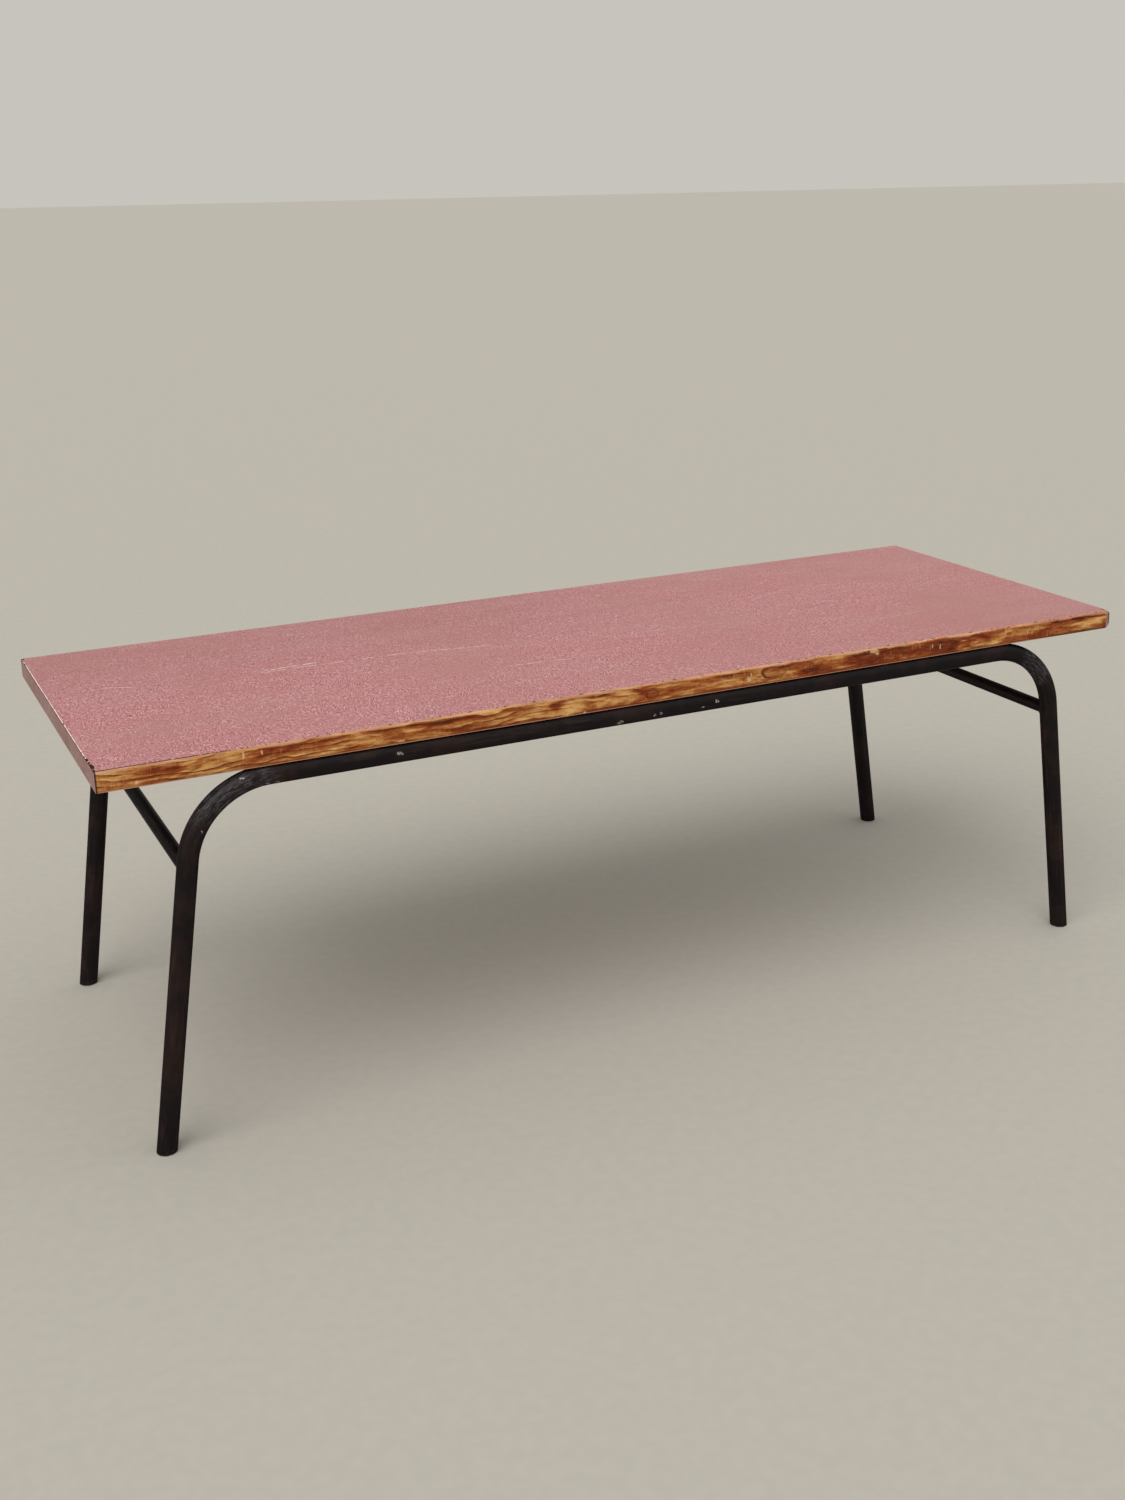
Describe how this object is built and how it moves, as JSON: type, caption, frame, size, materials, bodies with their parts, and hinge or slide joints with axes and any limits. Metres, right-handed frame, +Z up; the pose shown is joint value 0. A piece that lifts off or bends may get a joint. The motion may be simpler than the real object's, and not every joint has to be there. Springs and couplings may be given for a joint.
{
  "type": "table",
  "caption": "Long rectangular canteen table with a laminate-faced top, solid wood edge lippings and a bent steel tube frame with splayed legs and end cross bars.",
  "frame": {"origin": "on the floor, under the middle of the top", "axes": "+X along the top's length, -Y the front long side, +Z up"},
  "size_m": [2.2, 0.792, 0.75],
  "materials": {
    "laminate": "satin printed laminate, dusty rose",
    "lipping_wood": "varnished softwood, worn",
    "panel_wood": "raw blockboard, not seen",
    "backing": "plain brown balancing sheet, matt",
    "frame_enamel": "black-brown enamel, semi-gloss, rubbed and chipped",
    "foot_plug": "black, worn matt at the floor",
    "screw_steel": "dull plated steel"
  },
  "bodies": {
    "root": {"laminate_top": "laminate", "core_panel": "panel_wood", "backing_sheet": "backing", "front_edge_lipping": "lipping_wood", "back_edge_lipping": "lipping_wood", "left_end_band": "laminate", "right_end_band": "laminate", "front_side_tube": "frame_enamel", "back_side_tube": "frame_enamel", "left_cross_bar": "frame_enamel", "right_cross_bar": "frame_enamel", "cross_bar_welds": "frame_enamel", "foot_plug_front_left": "foot_plug", "foot_plug_front_right": "foot_plug", "foot_plug_back_left": "foot_plug", "foot_plug_back_right": "foot_plug", "front_fixing_lug_1": "frame_enamel", "front_fixing_lug_2": "frame_enamel", "front_fixing_lug_3": "frame_enamel", "front_fixing_lug_4": "frame_enamel", "back_fixing_lug_1": "frame_enamel", "back_fixing_lug_2": "frame_enamel", "back_fixing_lug_3": "frame_enamel", "back_fixing_lug_4": "frame_enamel", "lug_welds": "frame_enamel", "fixing_screws": "screw_steel"}
  },
  "joints": []
}
